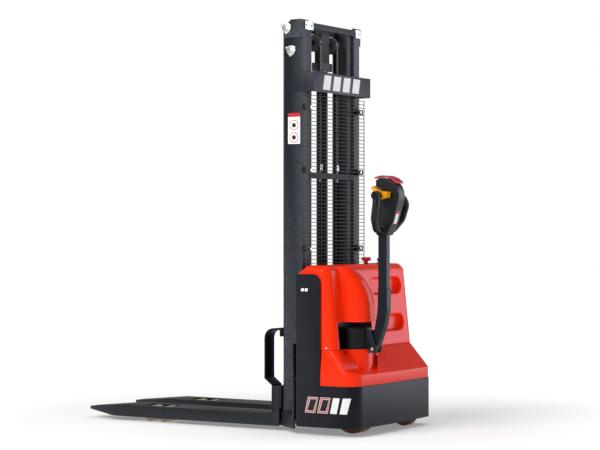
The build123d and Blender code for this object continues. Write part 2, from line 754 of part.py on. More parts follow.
def make_stop_button():
    cap = fillet(rod_z(24, stop_x, stop_y, hood_top + 15, hood_top + 33).edges().filter_by(
        GeomType.CIRCLE), 7)
    stem = rod_z(9, stop_x, stop_y, hood_top - 30, hood_top + 20)
    return cap + stem + rod_z(12.5, stop_x, stop_y, hood_top + 12, hood_top + 18)


def make_panel():
    """Flush dashboard insert: charge gauge window frame and key lock."""
    panel = block(panel_x - 27.5, panel_x + 27.5, panel_y - 57.5, panel_y + 57.5,
                  hood_top - 8, hood_top + 1.5)
    panel += block(panel_x - 24, panel_x + 24, panel_y - 50, panel_y + 50,
                   hood_top - 45, hood_top - 7)
    panel += rod_z(13, panel_x, panel_y + 32, hood_top, hood_top + 5)
    return panel - rod_z(6 + fit_gap, panel_x, panel_y + 32, hood_top - 20, hood_top + 10)


def make_key():
    bow = block(panel_x - 12, panel_x + 12, panel_y + 30.5, panel_y + 33.5,
                hood_top + 8, hood_top + 28)
    bow = fillet(bow.edges().filter_by(Axis.Y), 8)
    return bow + rod_z(6, panel_x, panel_y + 32, hood_top - 15, hood_top + 9)


save("upper_hood", make_upper_hood())
save("lower_hood", make_lower_hood())
save("stop_switch_base", make_stop_base())
save("stop_button", make_stop_button())
save("instrument_panel", make_panel())
save("key", make_key())


# ================= inside the body =================
def make_battery():
    case = block(40, 172, 0, inside - 44, tray_z + 6, tray_z + 200)
    case = fillet(case.edges().filter_by(Axis.Z), 8)
    for y in (60, inside - 104):
        case += rod_z(9, 70, y, tray_z + 200, tray_z + 215)
    return case


def make_power_unit():
    """Hydraulic pump motor standing on its valve block, with the oil tank beside it."""
    z = bridge_z + bridge_plate
    wall = -inside + 24
    unit = block(35, 140, wall, wall + 85, z, z + 60)
    unit += rod_z(40, 85, wall + 42, z + 59, z + 230)
    tank = block(35, 140, wall + 92, wall + 240, z, z + 120)
    return unit + fillet(tank.edges().filter_by(Axis.Z), 10)


z_mid = bridge_z + bridge_plate
save("battery", make_battery())
save("power_unit", make_power_unit())
save("controller", block(40, 150, 40, 300, z_mid, z_mid + 70))


# ================= castor =================
def make_castor_fork():
    x = castor_x + castor_trail
    fork = rod_z(38, castor_x, castor_y, castor_head_z - 14, castor_head_z - part_gap)
    for s in (-1, 1):
        y0 = castor_y + s * (castor_width / 2 + 2)
        arm = prism_y([(castor_x - 28, castor_head_z - 12), (x - 20, castor_radius - 14),
                       (x + 18, castor_radius - 14), (castor_x + 34, castor_head_z - 12)],
                      y0, y0 + s * 5)
        fork += arm
    fork += block(castor_x - 28, castor_x + 34, castor_y - castor_width / 2 - 7,
                  castor_y + castor_width / 2 + 7, castor_head_z - 18, castor_head_z - 10)
    return fork + rod_y(castor_axle, x, castor_y - castor_width / 2 - 7,
                        castor_y + castor_width / 2 + 7, castor_radius)


def make_castor_wheel():
    x = castor_x + castor_trail
    wheel = rod_y(castor_radius, x, castor_y - castor_width / 2, castor_y + castor_width / 2,
                  castor_radius)
    wheel = fillet(wheel.edges().filter_by(GeomType.CIRCLE), 8)
    return wheel - rod_y(castor_axle + fit_gap, x, castor_y - 99, castor_y + 99, castor_radius)


save("castor_fork", make_castor_fork())
save("castor_wheel", make_castor_wheel())


# ================= drive unit =================
def make_mount_ring():
    ring = rod_z(ring_radius, drive_x, drive_y, bridge_z, bridge_z + bridge_plate)
    return ring - rod_z(journal_radius + fit_gap, drive_x, drive_y, bridge_z - 5,
                        bridge_z + bridge_plate + 5)


def make_drive_unit():
    """Journal, vertical motor above it, and the gearbox leg that holds the wheel."""
    half = drive_wheel_width / 2
    unit = rod_z(journal_radius, drive_x, drive_y, bridge_z - 8, bridge_z + bridge_plate + 8)
    unit += rod_z(motor_radius, drive_x, drive_y, bridge_z + bridge_plate, motor_top)
    unit += block(drive_x - 50, drive_x + 50, drive_y - half - 4, drive_y + half + 38,
                  2 * drive_wheel_radius + 10, bridge_z - 7)
    leg = block(drive_x - 42, drive_x + 42, drive_y + half + 4, drive_y + half + 38,
                drive_wheel_radius - 42, 2 * drive_wheel_radius + 12)
    leg = fillet(leg.edges().filter_by(Axis.Y).group_by(Axis.Z)[0], 40)
    unit += leg
    return unit + rod_y(drive_axle_radius, drive_x, drive_y - half, drive_y + half + 6,
                        drive_wheel_radius)


def make_drive_wheel():
    half = drive_wheel_width / 2
    wheel = rod_y(drive_wheel_radius, drive_x, drive_y - half, drive_y + half,
                  drive_wheel_radius)
    wheel = fillet(wheel.edges().filter_by(GeomType.CIRCLE), 6)
    return wheel - rod_y(drive_axle_radius + fit_gap, drive_x, drive_y - 99, drive_y + 99,
                         drive_wheel_radius)


def make_drum():
    drum = rod_z(drum_radius, drive_x, drive_y, drum_base, motor_top + 3)
    drum = fillet(drum.edges().filter_by(GeomType.CIRCLE).sort_by(Axis.Z)[-1], 9)
    return drum - rod_z(drum_radius - 3, drive_x, drive_y, drum_base - 1, motor_top)


bracket_inner = arm_width / 2 + 1
bracket_outer = bracket_inner + 8


def make_bracket():
    """Two ears and a saddle on the back of the drum, with the tiller's pivot pin."""
    bracket = block(drive_x + drum_radius - 12, drive_x + drum_radius + 8,
                    drive_y - bracket_outer, drive_y + bracket_outer, drum_base + 4, 495)
    for s in (-1, 1):
        ear = prism_y([(drive_x + tower_radius + 4, bracket_low), (pivot_x + 16, bracket_low),
                       (pivot_x + 24, pivot_z + 10), (drive_x + drum_radius + 20, 495),
                       (drive_x + drum_radius - 12, 495),
                       (drive_x + drum_radius - 12, drum_base + 4),
                       (drive_x + tower_radius + 4, drum_base + 4)],
                      drive_y + s * bracket_inner, drive_y + s * bracket_outer)
        bracket += ear
    bracket -= rod_z(drum_radius, drive_x, drive_y, bracket_low - 5, 520)
    return bracket + rod_y(pivot_radius, pivot_x, drive_y - bracket_outer,
                           drive_y + bracket_outer, pivot_z)


save("drive_mount_ring", make_mount_ring())
save("drive_unit", make_drive_unit())
save("drive_wheel", make_drive_wheel())
save("drum_cover", make_drum())
save("tiller_bracket", make_bracket())


# ================= tiller =================
def make_casting():
    """Curved lower casting of the arm, from the pivot eye up to the tube socket."""
    y0, y1 = drive_y - arm_width / 2, drive_y + arm_width / 2
    outline = [(pivot_x - 14, pivot_z - 8), (pivot_x - 2, pivot_z - 17),
               (pivot_x + 12, pivot_z - 12), (pivot_x + 40, pivot_z + 52),
               (arm_rear - 8, pivot_z + 120), (arm_rear + 4, pivot_z + 190),
               (arm_rear + 4, pivot_z + 285), (arm_front, pivot_z + 285),
               (arm_front - 4, pivot_z + 180), (arm_front - 18, pivot_z + 100),
               (pivot_x - 6, pivot_z + 40)]
    casting = prism_y(outline, y0, y1)
    return casting - rod_y(pivot_radius + fit_gap, pivot_x, y0 - 5, y1 + 5, pivot_z)


def make_arm_tube():
    tube = block(arm_front, arm_rear, drive_y - arm_width / 2, drive_y + arm_width / 2,
                 pivot_z + 285, arm_top)
    return fillet(tube.edges().filter_by(Axis.Z), 4)


def grip_path(s):
    """Centre line of one grip loop, from the neck out, up and in to the hub boss."""
    y = drive_y
    points = [(392, y + s * 20, 962), (398, y + s * 84, 974), (416, y + s * 136, 1022),
              (434, y + s * grip_half, 1096), (hub_x + 14, y + s * 122, hub_z + 4),
              (hub_x, y + s * (boss_in + 10), hub_z)]
    return FilletPolyline(points, radius=[24, 40, 40, 20])


def make_head():
    """Moulded head: neck on the tube, rounded centre housing and two closed grip loops."""
    y = drive_y
    core = prism_y([(arm_front - 4, arm_top - 20), (arm_rear + 8, arm_top - 20),
                    (457, 1010), (hub_x + 79, hub_z - 28), (hub_x, hub_z),
                    (hub_x - 40, hub_z - 60), (arm_front - 4, 1010)],
                   y - core_half, y + core_half)
    core += rod_y(hub_radius, hub_x, y - core_half, y + core_half, hub_z) & block(
        hub_x - 40, hub_x + 90, y - 60, y + 60, hub_z - 70, hub_z + 90)
    for s in (-1, 1):
        path = grip_path(s)
        loop = sweep(Plane(origin=path @ 0, z_dir=path % 0) * Circle(grip_radius), path=path)
        core += loop + rod_y(21, hub_x, y + s * boss_in, y + s * (boss_in + 38), hub_z)
    core -= block(arm_front, arm_rear, y - arm_width / 2, y + arm_width / 2,
                  arm_top - 30, arm_top)
    core -= rod_y(throttle_axle + fit_gap, hub_x, y - boss_in - 12, y + boss_in + 12, hub_z)
    for z, tall in ((horn_z, 18), (rocker_z, 34)):
        core -= block(hub_x - 60, hub_x - 31, y - 13, y + 13, z - tall / 2, z + tall / 2)
    return core + rod_y(rocker_pin, hub_x - 38, y - 14, y + 14, rocker_z)


horn_z, rocker_z, rocker_pin = 1172.0, 1098.0, 1.5


def make_throttle():
    """Two thumb wings on one axle that passes through the head into the grip bosses."""
    y = drive_y
    axle = rod_y(throttle_axle, hub_x, y - boss_in - 10, y + boss_in + 10, hub_z)
    for s in (-1, 1):
        y0, y1 = y + s * (core_half + 1), y + s * (boss_in - 1)
        wing = rod_y(17, hub_x, y0, y1, hub_z)
        wing += prism_y([(hub_x - 42, hub_z + 34), (hub_x - 34, hub_z + 46),
                         (hub_x + 6, hub_z + 20), (hub_x + 44, hub_z + 18),
                         (hub_x + 40, hub_z - 10), (hub_x + 4, hub_z - 16),
                         (hub_x - 16, hub_z + 6)], y0, y1)
        axle += wing
    return axle


pad_angles = (-26.0, 50.0)           # from straight up, towards the rear


def make_belly_button():
    """Curved red pad over the rounded end of the head."""
    y = drive_y
    gap = 9.0                        # travel plus a little room under the pad
    ring = rod_y(pad_radius, hub_x, y - core_half - 8, y + core_half + 8, hub_z)
    ring -= rod_y(hub_radius + gap - 3, hub_x, y - 60, y + 60, hub_z)
    reach = 200.0
    a0, a1 = (a * pi / 180 for a in pad_angles)
    sector = prism_y([(hub_x, hub_z), (hub_x + reach * sin(a0), hub_z + reach * cos(a0)),
                      (hub_x + reach * sin((a0 + a1) / 2), hub_z + reach * cos((a0 + a1) / 2)),
                      (hub_x + reach * sin(a1), hub_z + reach * cos(a1))], y - 60, y + 60)
    return ring & sector


def make_horn_button():
    return block(hub_x - 48, hub_x - 33, drive_y - 12.5, drive_y + 12.5, horn_z - 8.5,
                 horn_z + 8.5)


def make_lift_rocker():
    half = 16.0
    rocker = prism_y([(hub_x - 33, rocker_z - 3), (hub_x - 43, rocker_z - half),
                    (hub_x - 47, rocker_z - half), (hub_x - 44, rocker_z),
                    (hub_x - 47, rocker_z + half), (hub_x - 43, rocker_z + half),
                    (hub_x - 33, rocker_z + 3)], drive_y - 12, drive_y + 12)
    return rocker - rod_y(rocker_pin + fit_gap, hub_x - 38, drive_y - 20, drive_y + 20, rocker_z)


save("tiller_arm", make_casting() + make_arm_tube())
save("tiller_head", make_head())
save("throttle", make_throttle())
save("belly_button", make_belly_button())
save("horn_button", make_horn_button())
save("lift_rocker", make_lift_rocker())
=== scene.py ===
import json
from math import cos, pi, radians, sin

import bmesh
import bpy
from mathutils import Matrix, Vector


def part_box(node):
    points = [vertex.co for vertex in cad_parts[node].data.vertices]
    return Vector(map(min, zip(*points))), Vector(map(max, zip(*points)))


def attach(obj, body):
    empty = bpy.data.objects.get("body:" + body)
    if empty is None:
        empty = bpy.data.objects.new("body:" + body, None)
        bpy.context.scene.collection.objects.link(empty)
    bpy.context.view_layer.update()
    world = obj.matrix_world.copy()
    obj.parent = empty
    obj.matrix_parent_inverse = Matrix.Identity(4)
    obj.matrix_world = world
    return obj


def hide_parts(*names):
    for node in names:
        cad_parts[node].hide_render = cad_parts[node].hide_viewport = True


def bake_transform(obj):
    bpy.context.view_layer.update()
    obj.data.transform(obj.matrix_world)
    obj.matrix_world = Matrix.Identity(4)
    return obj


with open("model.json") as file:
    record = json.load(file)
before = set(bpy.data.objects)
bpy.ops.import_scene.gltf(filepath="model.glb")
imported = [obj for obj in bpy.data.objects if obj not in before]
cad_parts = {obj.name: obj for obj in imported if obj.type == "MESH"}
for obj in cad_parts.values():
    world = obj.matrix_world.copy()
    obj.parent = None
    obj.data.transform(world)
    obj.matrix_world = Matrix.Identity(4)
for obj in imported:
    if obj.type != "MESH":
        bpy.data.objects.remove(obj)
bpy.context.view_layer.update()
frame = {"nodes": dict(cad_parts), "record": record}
bpy.ops.object.select_all(action="DESELECT")

# ---------------------------------------------------------------- view, floor and light
# A long lens at chest height looks level at the left side and a little of the rear. A pale
# studio floor and wide soft lights: one over the left side, one overhead, and one far behind
# the right rear that only lays a pale sheen on the rearward faces.
scene = bpy.context.scene
scene.view_settings.view_transform = "Standard"

view_yaw = radians(31.42)
camera_place = Vector((5.0419, -7.8716, 0.9696))
camera_data = bpy.data.cameras.new("camera")
camera_data.lens = 111.13
camera_data.shift_y = 0.00855
camera_data.clip_end = 60
camera = bpy.data.objects.new("camera", camera_data)
camera.location = camera_place
camera.rotation_euler = (pi / 2, 0, view_yaw)
scene.collection.objects.link(camera)
scene.camera = camera


def linear(colour):
    """An sRGB hex colour as linear red, green, blue and alpha."""
    values = [int(colour[i:i + 2], 16) / 255 for i in (1, 3, 5)]
    return [v / 12.92 if v <= 0.04045 else ((v + 0.055) / 1.055) ** 2.4 for v in values] + [1]


def add_node(tree, kind, values=None, links=None, **settings):
    """Adds a node, sets its properties and socket values, and links sources to its sockets."""
    node = tree.nodes.new(kind)
    for name, value in settings.items():
        setattr(node, name, value)
    for socket, value in (values or {}).items():
        node.inputs[socket].default_value = value
    for socket, source in (links or {}).items():
        tree.links.new(source, node.inputs[socket])
    return node


def start_material(name):
    """An empty material, its tree and the object coordinates that its patterns follow."""
    finish = bpy.data.materials.new(name)
    finish.use_nodes = True
    finish.node_tree.nodes.clear()
    place = add_node(finish.node_tree, "ShaderNodeTexCoord").outputs["Object"]
    return finish, finish.node_tree, place


def end_material(tree, values, links):
    """The one shader of a material, joined to its output."""
    shader = add_node(tree, "ShaderNodeBsdfPrincipled", values, links)
    add_node(tree, "ShaderNodeOutputMaterial", links={"Surface": shader.outputs[0]})


def per_metre(millimetres):
    """Pattern scale for a grain of this size on metre coordinates."""
    return 1000 / millimetres


def studio_floor():
    """Matt white sweep: a faint mottling keeps it from looking like a flat card. It also glows,
    weakly round the machine and more strongly further out: painted light that whitens the far
    floor while the shade round the base stays dark.
    """
    finish, tree, place = start_material("studio_floor")
    mottle = add_node(tree, "ShaderNodeTexNoise", {"Scale": per_metre(600)}, {"Vector": place})
    tint = add_node(tree, "ShaderNodeMix", {6: linear("#FAFAFB"), 7: linear("#FFFFFF")},
                    {0: mottle.outputs[0]}, data_type="RGBA")
    # Painted light: the floor's glow grows with distance from the machine.
    away = add_node(tree, "ShaderNodeVectorMath", links={0: place}, operation="LENGTH")
    glow = add_node(tree, "ShaderNodeMapRange",
                    {"From Min": 1.2, "From Max": 4.0, "To Min": 0.25, "To Max": 0.9},
                    {"Value": away.outputs["Value"]})
    end_material(tree, {"Roughness": 0.9, "Specular IOR Level": 0.0,
                        "Emission Color": linear("#FFFFFF")},
                 {"Base Color": tint.outputs[2], "Emission Strength": glow.outputs[0]})
    return finish


bpy.ops.mesh.primitive_plane_add(size=60)
floor = bpy.context.object
floor.name = "floor"
floor.data.materials.append(studio_floor())

world = bpy.data.worlds.new("studio")
world.use_nodes = True
seen = add_node(world.node_tree, "ShaderNodeLightPath")
glow = add_node(world.node_tree, "ShaderNodeMapRange", {"To Min": 0.3, "To Max": 1.0},
                {"Value": seen.outputs["Is Camera Ray"]})
backdrop = world.node_tree.nodes["Background"]
backdrop.inputs["Color"].default_value = (1, 1, 1, 1)
world.node_tree.links.new(glow.outputs[0], backdrop.inputs["Strength"])
scene.world = world


def soft_light(name, place, aim, width, height, watts, colour="#FFFFFF", sheen=False):
    """A rectangular soft box that faces its aim; a sheen box shows in reflections only."""
    data = bpy.data.lights.new(name, "AREA")
    data.shape = "RECTANGLE"
    data.size, data.size_y, data.energy = width, height, watts
    data.color = linear(colour)[:3]
    box = bpy.data.objects.new(name, data)
    box.location = place
    box.rotation_euler = (Vector(aim) - Vector(place)).to_track_quat("-Z", "Y").to_euler()
    scene.collection.objects.link(box)
    box.visible_diffuse = not sheen


soft_light("left_soft_box", (-0.6, -6.0, 4.2), (0.3, 0, 0.9), 4.0, 3.0, 320)
soft_light("rear_soft_box", (4.6, 5.2, 1.6), (0.5, 0, 0.7), 3.5, 4.5, 260, "#E4EAFF",
           sheen=True)
soft_light("top_soft_box", (1.6, 1.6, 5.0), (0.4, 0, 0.4), 3.0, 3.0, 42)


# ---------------------------------------------------------------- chassis plates
# Side panels, rear skirt and support legs are laser-cut and bent steel plate with ground
# edges, sprayed with a dark bluish charcoal powder coat. It bakes to a fine orange peel that
# breaks up highlights, and it rubs thin and paler along the edges.
def powder_coat(name, colour, roughness, peel=1.6, depth=0.00012, wear=0.35):
    finish, tree, place = start_material(name)
    cloud = add_node(tree, "ShaderNodeTexNoise", {"Scale": per_metre(220), "Detail": 3.0},
                     {"Vector": place})
    pale = [min(1, v * 1.22) for v in linear(colour)]
    deep = [v * 0.82 for v in linear(colour)]
    tone = add_node(tree, "ShaderNodeMix", {6: deep, 7: pale}, {0: cloud.outputs[0]},
                    data_type="RGBA")
    edge = add_node(tree, "ShaderNodeNewGeometry")
    rub = add_node(tree, "ShaderNodeMapRange",
                   {"From Min": 0.53, "From Max": 0.62, "To Max": wear},
                   {"Value": edge.outputs["Pointiness"]})
    scuff = add_node(tree, "ShaderNodeTexNoise", {"Scale": per_metre(14), "Detail": 5.0},
                     {"Vector": place})
    worn = add_node(tree, "ShaderNodeMath", links={0: rub.outputs[0], 1: scuff.outputs[0]},
                    operation="MULTIPLY")
    base = add_node(tree, "ShaderNodeMix", {7: linear("#8C9099")},
                    {0: worn.outputs[0], 6: tone.outputs[2]}, data_type="RGBA")
    skin = add_node(tree, "ShaderNodeTexNoise", {"Scale": per_metre(peel), "Detail": 2.0},
                    {"Vector": place})
    relief = add_node(tree, "ShaderNodeBump", {"Strength": 0.3, "Distance": depth},
                      {"Height": skin.outputs[0]})
    matt = add_node(tree, "ShaderNodeMapRange",
                    {"To Min": roughness - 0.06, "To Max": roughness + 0.08},
                    {"Value": scuff.outputs[0]})
    end_material(tree, {"Specular IOR Level": 0.16}, {"Base Color": base.outputs[2],
                 "Roughness": matt.outputs[0], "Normal": relief.outputs[0]})
    return finish


body_of_node = {node: body for body, nodes in frame["record"]["behaviour"]["bodies"].items()
                for node in nodes}


def activate(piece):
    bpy.ops.object.select_all(action="DESELECT")
    piece.select_set(True)
    bpy.context.view_layer.objects.active = piece


def modify(piece, kind, **settings):
    """Adds one modifier and applies it."""
    activate(piece)
    modifier = piece.modifiers.new("shape", kind)
    for name, value in settings.items():
        setattr(modifier, name, value)
    bpy.ops.object.modifier_apply(modifier=modifier.name)


def dress(piece, body, finish, angle=35):
    """Gives a finished piece its material, smooth shading and, if set, its body."""
    activate(piece)
    piece.data.materials.clear()
    piece.data.materials.append(finish)
    bpy.ops.object.shade_smooth_by_angle(angle=radians(angle))
    if body:
        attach(piece, body)
    return piece


def solid_copy(node, name):
    """A merged copy of a CAD node's mesh, with its flat faces made whole again."""
    piece = bpy.data.objects.new(name, frame["nodes"][node].data.copy())
    scene.collection.objects.link(piece)
    activate(piece)
    bpy.ops.object.mode_set(mode="EDIT")
    bpy.ops.mesh.select_all(action="SELECT")
    bpy.ops.mesh.remove_doubles(threshold=0.00002)
    bpy.ops.mesh.dissolve_limited(angle_limit=radians(0.6))
    bpy.ops.object.mode_set(mode="OBJECT")
    return piece


def soften(node, finish, radius_mm, segments=3, angle=28):
    """Stands in for a CAD node with the same plate, its sharp edges eased to a radius."""
    piece = solid_copy(node, node + "_eased")
    modify(piece, "BEVEL", width=radius_mm / 1000, segments=segments, limit_method="ANGLE",
           angle_limit=radians(angle), use_clamp_overlap=True)
    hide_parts(node)
    return dress(piece, body_of_node[node], finish)


def coat(finish, *nodes):
    """Puts a finish on CAD nodes that stay as they are."""
    for node in nodes:
        mesh = frame["nodes"][node].data
        mesh.materials.clear()
        mesh.materials.append(finish)


charcoal = powder_coat("charcoal_powder_coat", "#0A0F16", 0.42)
for node, radius in (("side_panel_left", 1.6), ("side_panel_right", 1.6), ("rear_skirt", 2.5),
                     ("support_leg_left", 1.5), ("support_leg_right", 1.5)):
    soften(node, charcoal, radius)
coat(charcoal, "chassis_base")

# ---------------------------------------------------------------- forks
# Folded 6 mm plate channels that straddle the legs, welded shut at the nose. The same coat in a
# paler tone all over, painted light for the light the forks catch, with heavier rub along their
# edges.
# Paler tone of the same coat: painted light on the forks; the edge rub is wear.
fork_coat = powder_coat("fork_powder_coat", "#24272B", 0.34, peel=2.4, wear=0.5)
for node in ("fork_left", "fork_right"):
    soften(node, fork_coat, 2.6)

# ---------------------------------------------------------------- load wheels
# Cast polyurethane rollers in pairs, each on a pressed-in bearing, in a rocking steel bogie.
# Polyurethane is cream to beige, a little glossy, with a scuffed running face.
def polyurethane(name, colour, grime):
    finish, tree, place = start_material(name)
    scuff = add_node(tree, "ShaderNodeTexNoise",
                     {"Scale": per_metre(9), "Detail": 6.0, "Roughness": 0.65},
                     {"Vector": place})
    share = add_node(tree, "ShaderNodeMapRange", {"From Min": 0.4, "From Max": 0.7},
                     {"Value": scuff.outputs[0]})
    tone = add_node(tree, "ShaderNodeMix", {6: linear(colour), 7: linear(grime)},
                    {0: share.outputs[0]}, data_type="RGBA")
    relief = add_node(tree, "ShaderNodeBump", {"Strength": 0.4, "Distance": 0.0003},
                      {"Height": scuff.outputs[0]})
    end_material(tree, {"Roughness": 0.45, "Subsurface Weight": 0.0},
                 {"Base Color": tone.outputs[2], "Normal": relief.outputs[0]})
    return finish


roller_beige = polyurethane("beige_polyurethane", "#C9B79A", "#8F8270")
tyre_amber = polyurethane("amber_polyurethane", "#7A3F18", "#3A2618")


def machined(name, colour, roughness, grain_mm=3.0, stretch=(1, 1, 12)):
    """Turned, ground or plated metal: fine lines left by the lathe, and a faint stain."""
    finish, tree, place = start_material(name)
    turned = add_node(tree, "ShaderNodeMapping", {"Scale": stretch}, {"Vector": place})
    lines = add_node(tree, "ShaderNodeTexNoise",
                     {"Scale": per_metre(grain_mm), "Detail": 4.0},
                     {"Vector": turned.outputs[0]})
    stain = add_node(tree, "ShaderNodeTexNoise", {"Scale": per_metre(25), "Detail": 3.0},
                     {"Vector": place})
    dull = [v * 0.72 for v in linear(colour)[:3]] + [1]
    tone = add_node(tree, "ShaderNodeMix", {6: dull, 7: linear(colour)},
                    {0: stain.outputs[0]}, data_type="RGBA")
    matt = add_node(tree, "ShaderNodeMapRange",
                    {"To Min": roughness - 0.08, "To Max": roughness + 0.1},
                    {"Value": lines.outputs[0]})
    relief = add_node(tree, "ShaderNodeBump", {"Strength": 0.3, "Distance": 0.00005},
                      {"Height": lines.outputs[0]})
    end_material(tree, {"Metallic": 1.0}, {"Base Color": tone.outputs[2],
                 "Roughness": matt.outputs[0], "Normal": relief.outputs[0]})
    return finish


bright_steel = machined("turned_bright_steel", "#A9ABAD", 0.28)
zinc = machined("clear_zinc_plate", "#C3C8BF", 0.34, grain_mm=2.0, stretch=(1, 1, 1))


def cast_iron(name, colour):
    """Sand-cast iron under thin grey enamel: coarse grain, hardly any gloss."""
    finish, tree, place = start_material(name)
    sand = add_node(tree, "ShaderNodeTexNoise", {"Scale": per_metre(2.5), "Detail": 5.0},
                    {"Vector": place})
    tone = add_node(tree, "ShaderNodeMix",
                    {6: linear(colour), 7: [v * 1.5 for v in linear(colour)[:3]] + [1]},
                    {0: sand.outputs[0]}, data_type="RGBA")
    relief = add_node(tree, "ShaderNodeBump", {"Strength": 0.7, "Distance": 0.0006},
                      {"Height": sand.outputs[0]})
    end_material(tree, {"Roughness": 0.6, "Specular IOR Level": 0.4},
                 {"Base Color": tone.outputs[2], "Normal": relief.outputs[0]})
    return finish


grey_casting = cast_iron("grey_enamel_casting", "#303235")
wheel_nodes = [f"load_wheel_{side}_{end}" for side in ("left", "right")
               for end in ("front", "rear")]
for node in wheel_nodes:
    soften(node, roller_beige, 1.0)
for node in ("load_bogie_left", "load_bogie_right"):
    soften(node, grey_casting, 1.0)

# ---------------------------------------------------------------- mast
# Outer and inner channels are hot-rolled mast profiles, sprayed near-black before the inner
# stage goes in; rollers have wiped the running faces to a duller, greasy grey.
mast_paint = powder_coat("mast_powder_coat", "#0A111B", 0.4, peel=2.2, wear=0.3)
inner_paint = powder_coat("inner_mast_coat", "#090A0D", 0.5, peel=2.2, wear=0.3)
for node in ("outer_mast_left", "outer_mast_right"):
    soften(node, mast_paint, 2.2)
for node in ("outer_mast_ties", "inner_mast", "crosshead", "carriage_frame"):
    soften(node, inner_paint, 1.6)
soften("load_guard_bars", mast_paint, 2.0)
coat(bright_steel, "mast_rollers", "inner_mast_rollers", "carriage_rollers",
     "chain_anchors", "lift_rod")
coat(inner_paint, "lift_cylinder")
coat(grey_casting, "chain_sheaves")
for node in ("roller_covers", "angle_stops", "mast_fasteners"):
    soften(node, zinc, 1.0)
leaf_steel = machined("oiled_chain_steel", "#5A5550", 0.42)
coat(leaf_steel, "chain_bends")


def block(name, low, high):
    """A box between two corners, its place kept in its mesh."""
    low, high = Vector(low), Vector(high)
    bpy.ops.mesh.primitive_cube_add(size=1, location=(low + high) / 2, scale=high - low)
    piece = bpy.context.object
    piece.name = name
    bpy.ops.object.transform_apply(location=True, rotation=True, scale=True)
    return piece


def disc(name, radius, height, centre, axis="Z", vertices=48):
    """A round bar about a centre, along X, Y or Z, its place kept in its mesh."""
    turn = {"X": (0, pi / 2, 0), "Y": (pi / 2, 0, 0), "Z": (0, 0, 0)}[axis]
    bpy.ops.mesh.primitive_cylinder_add(vertices=vertices, radius=radius, depth=height,
                                        location=centre, rotation=turn)
    piece = bpy.context.object
    piece.name = name
    bpy.ops.object.transform_apply(location=True, rotation=True, scale=True)
    return piece


def join(*pieces):
    """Makes several pieces one, named for the first."""
    activate(pieces[0])
    for piece in pieces:
        piece.select_set(True)
    bpy.ops.object.join()
    return pieces[0]


def chain_run(name, node):
    """A pair of leaf chains: punched plates, laced two and two, on riveted pins."""
    low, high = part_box(node)
    pitch, plate, width = 0.0127, 0.0021, 0.016
    deep = high.x - low.x
    middle = (low.x + high.x) / 2
    made = []
    for side in (-1, 1):
        centre = side * (high.y - width / 2)
        for place, step in ((-3, 0), (-1, 1), (1, 1), (3, 0)):
            y = centre + place * width / 8
            link = block("link", (low.x, y - plate / 2, low.z + step * pitch),
                         (high.x, y + plate / 2, low.z + (step + 1) * pitch + deep * 0.8))
            modify(link, "ARRAY", use_relative_offset=False, use_constant_offset=True,
                   constant_offset_displace=(0, 0, 2 * pitch),
                   count=int((high.z - low.z - step * pitch - deep * 0.8 - pitch)
                             / (2 * pitch)) + 1)
            made.append(link)
        pin = disc("pin", deep * 0.3, width * 1.02, (middle, centre, low.z + deep * 0.4),
                   axis="Y", vertices=10)
        modify(pin, "ARRAY", use_relative_offset=False, use_constant_offset=True,
               constant_offset_displace=(0, 0, pitch),
               count=int((high.z - low.z - deep) / pitch) + 1)
        made.append(pin)
    run = join(*made)
    run.name = name
    dress(run, None, leaf_steel)
    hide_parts(node)
    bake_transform(run)


chain_run("rear_leaf_chains", "rear_chains")
chain_run("front_leaf_chains", "front_chains")

# ---------------------------------------------------------------- name plate and mesh clamps
soften("name_plate", mast_paint, 0.8, segments=2)


def moulded(name, colour, roughness, grain=1.2, depth=0.00015, specular=0.22):
    """Injection-moulded plastic: spark-eroded grain of the mould, a faint drift in tone."""
    finish, tree, place = start_material(name)
    drift = add_node(tree, "ShaderNodeTexNoise", {"Scale": per_metre(180), "Detail": 2.0},
                     {"Vector": place})
    deep = [v * 0.88 for v in linear(colour)[:3]] + [1]
    tone = add_node(tree, "ShaderNodeMix", {6: deep, 7: linear(colour)},
                    {0: drift.outputs[0]}, data_type="RGBA")
    spark = add_node(tree, "ShaderNodeTexNoise", {"Scale": per_metre(grain), "Detail": 3.0},
                     {"Vector": place})
    matt = add_node(tree, "ShaderNodeMapRange",
                    {"To Min": roughness - 0.05, "To Max": roughness + 0.06},
                    {"Value": spark.outputs[0]})
    relief = add_node(tree, "ShaderNodeBump", {"Strength": 0.5, "Distance": depth},
                      {"Height": spark.outputs[0]})
    end_material(tree, {"Specular IOR Level": specular},
                 {"Base Color": tone.outputs[2], "Roughness": matt.outputs[0],
                  "Normal": relief.outputs[0]})
    return finish


black_abs = moulded("black_grained_abs", "#0B0B0C", 0.42)
soften("mesh_clamps", black_abs, 2.0)

# ---------------------------------------------------------------- upper hood
# One vacuum-formed ABS cover in gloss red: flat sides, a leaning rear with two moulded trays,
# and a cowl that swells out over the drum. Forming leaves every edge round; the drum opening
# and the switch holes are routed afterwards, so their edges are crisp.
cover_red = moulded("red_gloss_abs", "#FF2E00", 0.3, grain=5.0, depth=0.00003,
                    specular=0.16)
hood_low, hood_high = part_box("upper_hood")
drum_low, drum_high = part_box("drum_cover")
drum_axis = (drum_low + drum_high) / 2
parting, hood_top, hood_front, hood_half = hood_low.z, hood_high.z, hood_low.x, hood_high.y
rear_low, rear_top = hood_front + 0.206, hood_front + 0.164
rear_lean = (rear_low - rear_top) / (hood_top - parting)
spare = 0.03


def pick(piece, test, kind="VERT"):
    """Opens a piece in edit mode with what passes the test selected: all its corners must."""
    activate(piece)
    bpy.ops.object.mode_set(mode="EDIT")
    bpy.ops.mesh.select_mode(type=kind)
    bpy.ops.mesh.select_all(action="DESELECT")
    form = bmesh.from_edit_mesh(piece.data)
    for item in {"VERT": form.verts, "EDGE": form.edges, "FACE": form.faces}[kind]:
        corners = [item] if kind == "VERT" else item.verts
        if all(test(corner.co) for corner in corners):
            item.select_set(True)
    form.select_flush_mode()
    bmesh.update_edit_mesh(piece.data)


def close():
    bpy.ops.object.mode_set(mode="OBJECT")


